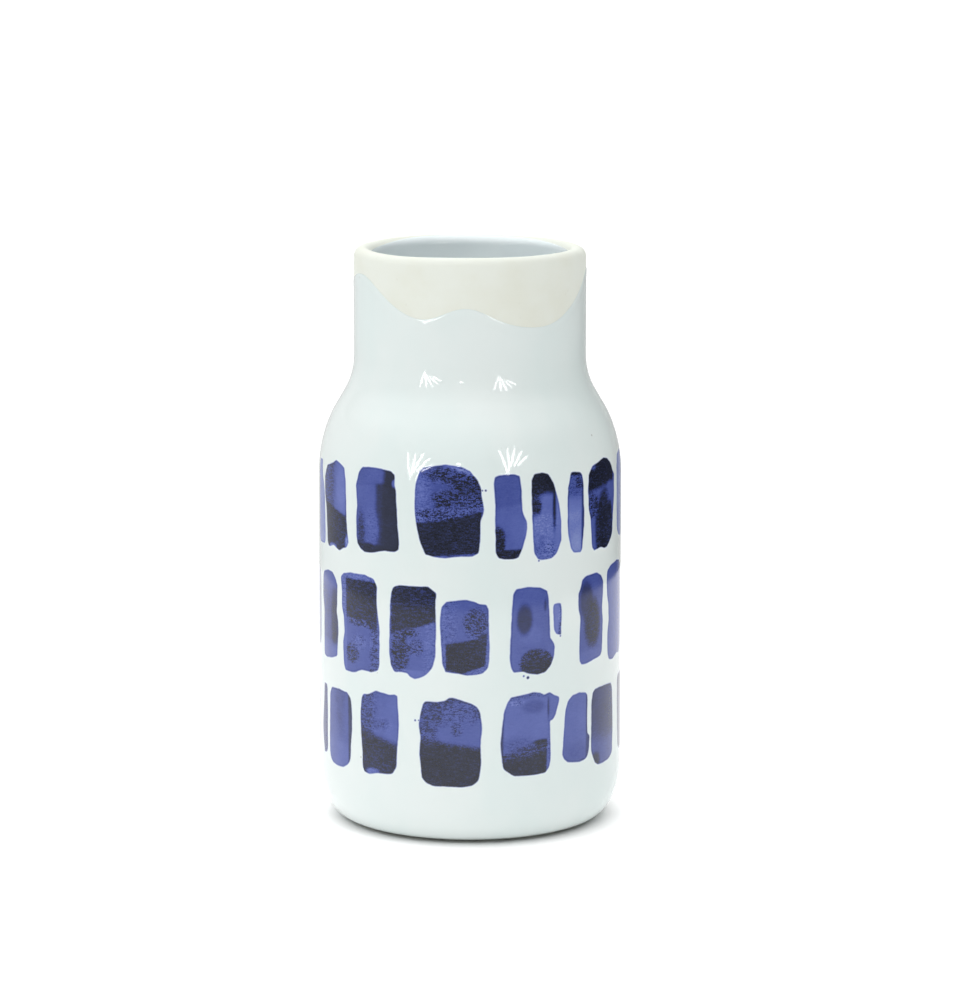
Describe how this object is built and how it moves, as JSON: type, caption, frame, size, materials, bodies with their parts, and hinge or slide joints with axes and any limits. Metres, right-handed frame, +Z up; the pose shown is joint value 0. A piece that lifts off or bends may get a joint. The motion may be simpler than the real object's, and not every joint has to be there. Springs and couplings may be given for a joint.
{
  "type": "glazed stoneware vase",
  "caption": "Tall glazed stoneware vase with a wide straight neck, a bare clay lip above a scalloped glaze edge, and rings of cobalt brush strokes; holds flowers or water.",
  "frame": {"origin": "centre of the foot ring, on the surface the vase stands on", "axes": "+Z up along the axis of turning, -Y towards the front of the vase, +X to its right"},
  "size_m": [0.125, 0.1252, 0.2366],
  "materials": {
    "stoneware": "bare fired clay, warm off-white, matte with a fine grain",
    "white_glaze": "glossy cool white glaze with a faint blue-green cast",
    "lining_glaze": "glossy pale grey glaze",
    "cobalt": "glossy cobalt brush stroke fired into the glaze, from pale violet-blue to near black"
  },
  "bodies": {
    "root": {"clay_body": "stoneware", "outer_glaze": "white_glaze", "inner_glaze": "lining_glaze", "top_stroke_01": "cobalt", "top_stroke_02": "cobalt", "top_stroke_03": "cobalt", "top_stroke_04": "cobalt", "top_stroke_05": "cobalt", "top_stroke_06": "cobalt", "top_stroke_07": "cobalt", "top_stroke_08": "cobalt", "top_stroke_09": "cobalt", "top_stroke_10": "cobalt", "top_stroke_11": "cobalt", "top_stroke_12": "cobalt", "top_stroke_13": "cobalt", "top_stroke_14": "cobalt", "top_stroke_15": "cobalt", "top_stroke_16": "cobalt", "top_stroke_17": "cobalt", "middle_stroke_01": "cobalt", "middle_stroke_02": "cobalt", "middle_stroke_03": "cobalt", "middle_stroke_04": "cobalt", "middle_stroke_05": "cobalt", "middle_stroke_06": "cobalt", "middle_stroke_07": "cobalt", "middle_stroke_08": "cobalt", "middle_stroke_09": "cobalt", "middle_stroke_10": "cobalt", "middle_stroke_11": "cobalt", "middle_stroke_12": "cobalt", "middle_stroke_13": "cobalt", "middle_stroke_14": "cobalt", "middle_stroke_15": "cobalt", "middle_stroke_16": "cobalt", "middle_stroke_17": "cobalt", "middle_stroke_18": "cobalt", "lower_stroke_01": "cobalt", "lower_stroke_02": "cobalt", "lower_stroke_03": "cobalt", "lower_stroke_04": "cobalt", "lower_stroke_05": "cobalt", "lower_stroke_06": "cobalt", "lower_stroke_07": "cobalt", "lower_stroke_08": "cobalt", "lower_stroke_09": "cobalt", "lower_stroke_10": "cobalt", "lower_stroke_11": "cobalt", "lower_stroke_12": "cobalt", "lower_stroke_13": "cobalt", "lower_stroke_14": "cobalt", "lower_stroke_15": "cobalt", "lower_stroke_16": "cobalt", "lower_stroke_17": "cobalt"}
  },
  "joints": []
}
